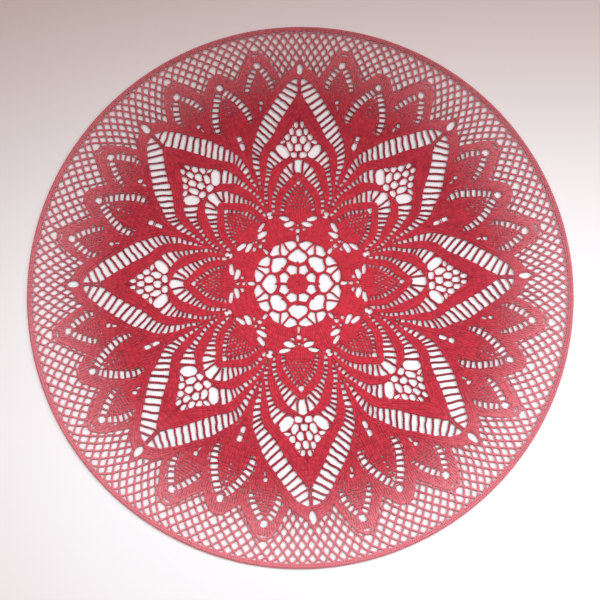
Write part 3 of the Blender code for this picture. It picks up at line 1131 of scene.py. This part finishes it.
def edging_groups():
    """Stitches wrapped round the hoop, and the chains along its inner edge and its top."""
    angle = np.arange(WRAPS) * math.tau / WRAPS
    around = np.linspace(0.0, math.tau, WRAP_POINTS) - math.pi / 2
    reach = EDGING_HALF_WIDTH - WRAP_YARN
    forward = np.linspace(-0.5, 0.5, WRAP_POINTS)
    lean = (forward + WRAP_LEAN * np.sin(around)) * math.tau / WRAPS
    turn = angle[:, None] + lean
    out = HOOP_RADIUS + reach * np.cos(around)
    height = MIDDLE_HEIGHT + reach * np.sin(around)
    path = np.stack([
        out * np.sin(turn),
        out * np.cos(turn),
        np.broadcast_to(height, turn.shape),
    ], axis=-1)
    side = np.stack([np.cos(turn), -np.sin(turn), np.zeros_like(turn)], axis=-1)
    yield path, np.full(turn.shape, WRAP_HALF_WIDTH), WRAP, side
    points = 2 * CHAINS_A_RUN + 1
    for radius, level, half, count in EDGE_CHAINS:
        lengths = count // CHAINS_A_RUN
        turn = (np.arange(lengths)[:, None] + np.linspace(0.0, 1.0, points)) * math.tau / lengths
        path = np.stack([
            radius * np.sin(turn),
            radius * np.cos(turn),
            np.full_like(turn, level),
        ], axis=-1)
        thickness = plumpness(points, EDGE_CHAIN_PLUMPNESS) * half
        yield path, np.broadcast_to(thickness, turn.shape), CORD, None


# Materials

class Value:
    """A number on a shader's socket, so that sums on it are written as plain Python."""

    def __init__(self, finish, socket):
        self.finish = finish
        self.socket = socket

    def sum(self, operation, *numbers):
        node = self.finish.node("ShaderNodeMath", {"operation": operation},
                                dict(enumerate(numbers)))
        return Value(self.finish, node.outputs[0])

    def __add__(self, other):
        return self.sum("ADD", self, other)

    __radd__ = __add__

    def __sub__(self, other):
        return self.sum("SUBTRACT", self, other)

    def __rsub__(self, other):
        return self.sum("SUBTRACT", other, self)

    def __mul__(self, other):
        return self.sum("MULTIPLY", self, other)

    __rmul__ = __mul__

    def sine(self):
        return self.sum("SINE", self)

    def size(self):
        return self.sum("ABSOLUTE", self)


class Finish:
    """One material's nodes round its Principled shader."""

    def __init__(self, name, constants):
        self.material = bpy.data.materials.new(name)
        self.material.use_nodes = True
        self.tree = self.material.node_tree
        self.surface = self.tree.nodes["Principled BSDF"]
        self.put(self.surface, constants)

    def put(self, node, values):
        for name, value in values.items():
            socket = node.inputs[name]
            if isinstance(value, Value):
                self.tree.links.new(value.socket, socket)
            elif isinstance(value, bpy.types.NodeSocket):
                self.tree.links.new(value, socket)
            else:
                socket.default_value = value

    def node(self, kind, settings=None, values=None):
        node = self.tree.nodes.new(kind)
        for name, setting in (settings or {}).items():
            setattr(node, name, setting)
        self.put(node, values or {})
        return node

    def value(self, socket):
        return Value(self, socket)

    def noise(self, place, scale, detail):
        node = self.node("ShaderNodeTexNoise", {}, {
            "Vector": place, "Scale": scale, "Detail": detail,
        })
        return self.value(node.outputs["Fac"])

    def rise(self, radius, start, end):
        """From 0 to 1 as the distance from the middle grows from start to end, in millimetres."""
        node = self.node("ShaderNodeMapRange", {"interpolation_type": "SMOOTHSTEP"}, {
            "Value": radius, "From Min": start * MM, "From Max": end * MM,
        })
        return self.value(node.outputs[0])

    def mix(self, share, first, second):
        node = self.node("ShaderNodeMix", {"data_type": "RGBA"}, {0: share, 6: first, 7: second})
        return node.outputs[2]


# Red cotton: its dye where it is deepest and brightest, its worn fibres, and the paler colour
# painted where light comes through the thin work near the hoop and where more light falls
YARN_DEEP = (0.22, 0.006, 0.022, 1.0)
YARN_BRIGHT = (0.67, 0.025, 0.044, 1.0)
YARN_WORN = (0.65, 0.050, 0.082, 1.0)
YARN_PALE_PAINTED_LIGHT = (0.78, 0.25, 0.285, 1.0)
# The ply's twist in radians a millimetre, and scale and detail of the fibres, of the patches in
# the dye and of its specks
PLY_TWIST = 2.1
FIBRES = (2600.0, 3.0)
PATCHES = (22.0, 3.0)
SPECKS = (380.0, 2.0)
# How much the stitch's tone, the patches and the specks brighten the colour, and what is taken
# from all; the stitch's tone carries the painted shade of thin cords
BRIGHT_BY_STITCH = 0.8
BRIGHT_BY_PATCH = 0.3
BRIGHT_BY_SPECK = 0.7
DULLER_BY = 0.40
# Radii in millimetres between which the colour grows darker, how much, and how much more for
# each metre towards the top, this last being painted shade where less light falls
DEEPER_FROM = 60.0
DEEPER_UNTIL = 205.0
DEEPER_BY = 0.32
PAINTED_SHADE_TO_TOP = 0.35
# Radii between which painted light makes it paler, standing in for light coming through the
# thin work near the hoop, how much, and how much more for each metre towards the right and the
# lower edge, where more light falls, and with the specks
PALER_FROM = 192.0
PALER_UNTIL = 304.0
PALER_BY = 0.3
PAINTED_LIGHT_TO_RIGHT = 0.1
PAINTED_LIGHT_TO_BOTTOM = 0.7
PALER_BY_SPECK = 1.4
# How much the ply and the fibres show as fuzz, on a dull stitch and more on a bright one
FUZZ_BY_PLY = 0.35
FUZZ_BY_FIBRE = 0.5
LEAST_FUZZ = 0.2
FUZZ_BY_STITCH = 0.35
# How much the ply and the fibres stand out, and how rough the yarn is
RELIEF_BY_PLY = 0.7
RELIEF_BY_FIBRE = 0.5
YARN_ROUGHNESS = 0.62
ROUGHER_BY_FIBRE = 0.2


def cotton_yarn():
    """Mercerised cotton: two plies twisted together, fine fibres, and uneven dye.

    Painted light makes it paler towards the hoop, where the work is thin and light comes through
    it, and towards the right and the lower edge, where more light falls. Painted shade makes it
    darker towards the top and on the thin cords.
    """
    finish = Finish("red_cotton_yarn", {
        "Sheen Weight": 0.15,
        "Sheen Roughness": 0.45,
        "Sheen Tint": (1.0, 0.72, 0.75, 1.0),
        "Specular IOR Level": 0.28,
    })
    lay = finish.node("ShaderNodeUVMap", {"uv_map": "yarn_lay"}).outputs[0]
    split = finish.node("ShaderNodeSeparateXYZ", {}, {0: lay})
    along = finish.value(split.outputs["X"])
    around = finish.value(split.outputs["Y"])
    place = finish.node("ShaderNodeTexCoord").outputs["Object"]
    tone = finish.node("ShaderNodeAttribute", {"attribute_name": "stitch_tone"})
    stitch = finish.value(tone.outputs["Fac"])
    ply = (along * PLY_TWIST + around * math.tau).sine().size()
    fibres = finish.noise(place, *FIBRES)
    patches = finish.noise(place, *PATCHES)
    specks = finish.noise(place, *SPECKS)
    from_middle = finish.node("ShaderNodeVectorMath", {"operation": "LENGTH"}, {0: place})
    radius = from_middle.outputs["Value"]
    side = finish.node("ShaderNodeSeparateXYZ", {}, {0: place})
    to_right = finish.value(side.outputs["X"])
    to_top = finish.value(side.outputs["Y"])
    # Painted light: paler towards the right and the lower edge, where more light falls
    paler = to_right * PAINTED_LIGHT_TO_RIGHT - to_top * PAINTED_LIGHT_TO_BOTTOM
    paler = paler + specks * PALER_BY_SPECK + PALER_BY
    # Painted light near the hoop, where light comes through the thin work
    painted_light_share = finish.rise(radius, PALER_FROM, PALER_UNTIL) * paler
    deeper = finish.rise(radius, DEEPER_FROM, DEEPER_UNTIL)
    dye_and_shade = stitch * BRIGHT_BY_STITCH + patches * BRIGHT_BY_PATCH + specks * BRIGHT_BY_SPECK
    dye_and_shade -= DULLER_BY
    # Darker out from the middle, and painted shade: darker still towards the top, where less light
    # falls
    dye_and_shade -= deeper * (to_top * PAINTED_SHADE_TO_TOP + DEEPER_BY)
    colour = finish.mix(dye_and_shade, YARN_DEEP, YARN_BRIGHT)
    colour = finish.mix(painted_light_share, colour, YARN_PALE_PAINTED_LIGHT)
    fuzz = ply * FUZZ_BY_PLY + fibres * FUZZ_BY_FIBRE
    fuzz *= stitch * FUZZ_BY_STITCH + LEAST_FUZZ
    colour = finish.mix(fuzz, colour, YARN_WORN)
    height = ply * RELIEF_BY_PLY + fibres * RELIEF_BY_FIBRE
    bump = finish.node("ShaderNodeBump", {}, {
        "Strength": 0.45, "Distance": 0.00025, "Height": height,
    })
    finish.put(finish.surface, {
        "Base Color": colour,
        "Roughness": YARN_ROUGHNESS + fibres * ROUGHER_BY_FIBRE,
        "Normal": bump.outputs[0],
    })
    return finish.material


# Steel wire: stained and clean colour, scale and detail of its stains and of its drawing
# streaks, how rough it is and how much rougher the streaks make it
WIRE_STAINED = (0.38, 0.38, 0.40, 1.0)
WIRE_CLEAN = (0.55, 0.55, 0.56, 1.0)
STAINS = (60.0, 2.0)
STREAKS = (900.0, 4.0)
WIRE_ROUGHNESS = 0.28
ROUGHER_BY_STREAK = 0.25


def drawn_wire():
    finish = Finish("drawn_steel_wire", {"Metallic": 1.0})
    place = finish.node("ShaderNodeTexCoord").outputs["Object"]
    streaks = finish.noise(place, *STREAKS)
    stains = finish.noise(place, *STAINS)
    finish.put(finish.surface, {
        "Base Color": finish.mix(stains, WIRE_STAINED, WIRE_CLEAN),
        "Roughness": WIRE_ROUGHNESS + streaks * ROUGHER_BY_STREAK,
        "Normal": finish.node("ShaderNodeBump", {}, {
            "Strength": 0.2, "Distance": 0.0001, "Height": streaks,
        }).outputs[0],
    })
    return finish.material


# The pale surface under the piece: both colours of its grain, the grain's scale and detail, how
# rough it is and how much rougher the grain makes it
PAPER_DARK = (0.87, 0.865, 0.86, 1.0)
PAPER_LIGHT = (0.90, 0.895, 0.89, 1.0)
GRAIN = (700.0, 3.0)
PAPER_ROUGHNESS = 0.75
ROUGHER_BY_GRAIN = 0.1


def pale_paper():
    finish = Finish("pale_surface", {"Specular IOR Level": 0.2})
    place = finish.node("ShaderNodeTexCoord").outputs["Object"]
    grain = finish.noise(place, *GRAIN)
    finish.put(finish.surface, {
        "Base Color": finish.mix(grain, PAPER_DARK, PAPER_LIGHT),
        "Roughness": PAPER_ROUGHNESS + grain * ROUGHER_BY_GRAIN,
    })
    return finish.material


# Stage, light and camera, in metres and watts

FLOOR_HALF = 6.0
LAMPS = {
    # place, aim, width and height, power, colour
    "window_at_upper_right": (
        (1.3, 1.0, 3.05), (-0.1, -1.4, 0.0), (0.8, 0.8), 29.2, (1.0, 0.765, 0.74)),
    "long_lamp_over_the_lower_half": (
        (0.22, 0.0, 0.643), (0.22, -0.718, 0.0), (1.35, 0.30), 9.2, (0.80, 0.92, 1.0)),
}
ROOM_COLOUR = (1.0, 0.54, 0.38, 1.0)
ROOM_STRENGTH = 0.22
CAMERA_PLACE = (0.00954, -0.09445, 0.6552)
CAMERA_ACROSS = (0.99992, 0.00146, -0.01243)
CAMERA_UP = (0.0, 0.99321, 0.11634)
CAMERA_BACK = (0.01251, -0.11633, 0.99313)
CAMERA_NEAREST = 0.01
# In millimetres
CAMERA_LENS = 36.0
CAMERA_SENSOR = 36.0


def floor(material):
    half = FLOOR_HALF
    mesh = bpy.data.meshes.new("pale_floor")
    corners = [(-half, -half, 0.0), (half, -half, 0.0), (half, half, 0.0), (-half, half, 0.0)]
    mesh.from_pydata(corners, [], [(0, 1, 2, 3)])
    mesh.materials.append(material)
    plane = bpy.data.objects.new("pale_floor", mesh)
    bpy.context.collection.objects.link(plane)


def area_light(name, place, aim, sizes, power, colour):
    light = bpy.data.lights.new(name, "AREA")
    light.shape = "RECTANGLE"
    light.size, light.size_y = sizes
    light.energy = power
    light.color = colour
    lamp = bpy.data.objects.new(name, light)
    lamp.location = place
    lamp.rotation_euler = (Vector(aim) - Vector(place)).to_track_quat("-Z", "Y").to_euler()
    bpy.context.collection.objects.link(lamp)


def lights():
    for name, lamp in LAMPS.items():
        area_light(name, *lamp)
    world = bpy.data.worlds.new("soft_room")
    bpy.context.scene.world = world
    world.use_nodes = True
    background = world.node_tree.nodes["Background"]
    background.inputs["Color"].default_value = ROOM_COLOUR
    background.inputs["Strength"].default_value = ROOM_STRENGTH


def camera():
    data = bpy.data.cameras.new("photo_camera")
    data.lens = CAMERA_LENS
    data.sensor_width = CAMERA_SENSOR
    data.clip_start = CAMERA_NEAREST
    seen = bpy.data.objects.new("photo_camera", data)
    turn = Matrix((CAMERA_ACROSS, CAMERA_UP, CAMERA_BACK)).transposed().to_4x4()
    seen.matrix_world = Matrix.Translation(CAMERA_PLACE) @ turn
    bpy.context.collection.objects.link(seen)
    bpy.context.scene.camera = seen


def petal_groups(work, petal):
    for path, thickness, kind in work.groups():
        yield placed(path, petal), thickness, kind, None


def main():
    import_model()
    camera()
    lights()
    bpy.context.scene.view_settings.view_transform = "Standard"
    floor(pale_paper())
    lace = cotton_yarn()
    random = np.random.default_rng(HAND_SEED)
    work = work_one_petal()
    for petal in range(PETALS):
        name = f"lace_petal_{petal + 1}"
        piece = yarn_piece(name, petal_groups(work, petal), lace, random)
        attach(piece, "root")
        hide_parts("lace_with_edging")
    edging = yarn_piece("hoop_edging", edging_groups(), lace, random)
    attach(edging, "root")
    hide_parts("lace_with_edging")
    bpy.data.objects["hoop_wire"].data.materials[0] = drawn_wire()


main()
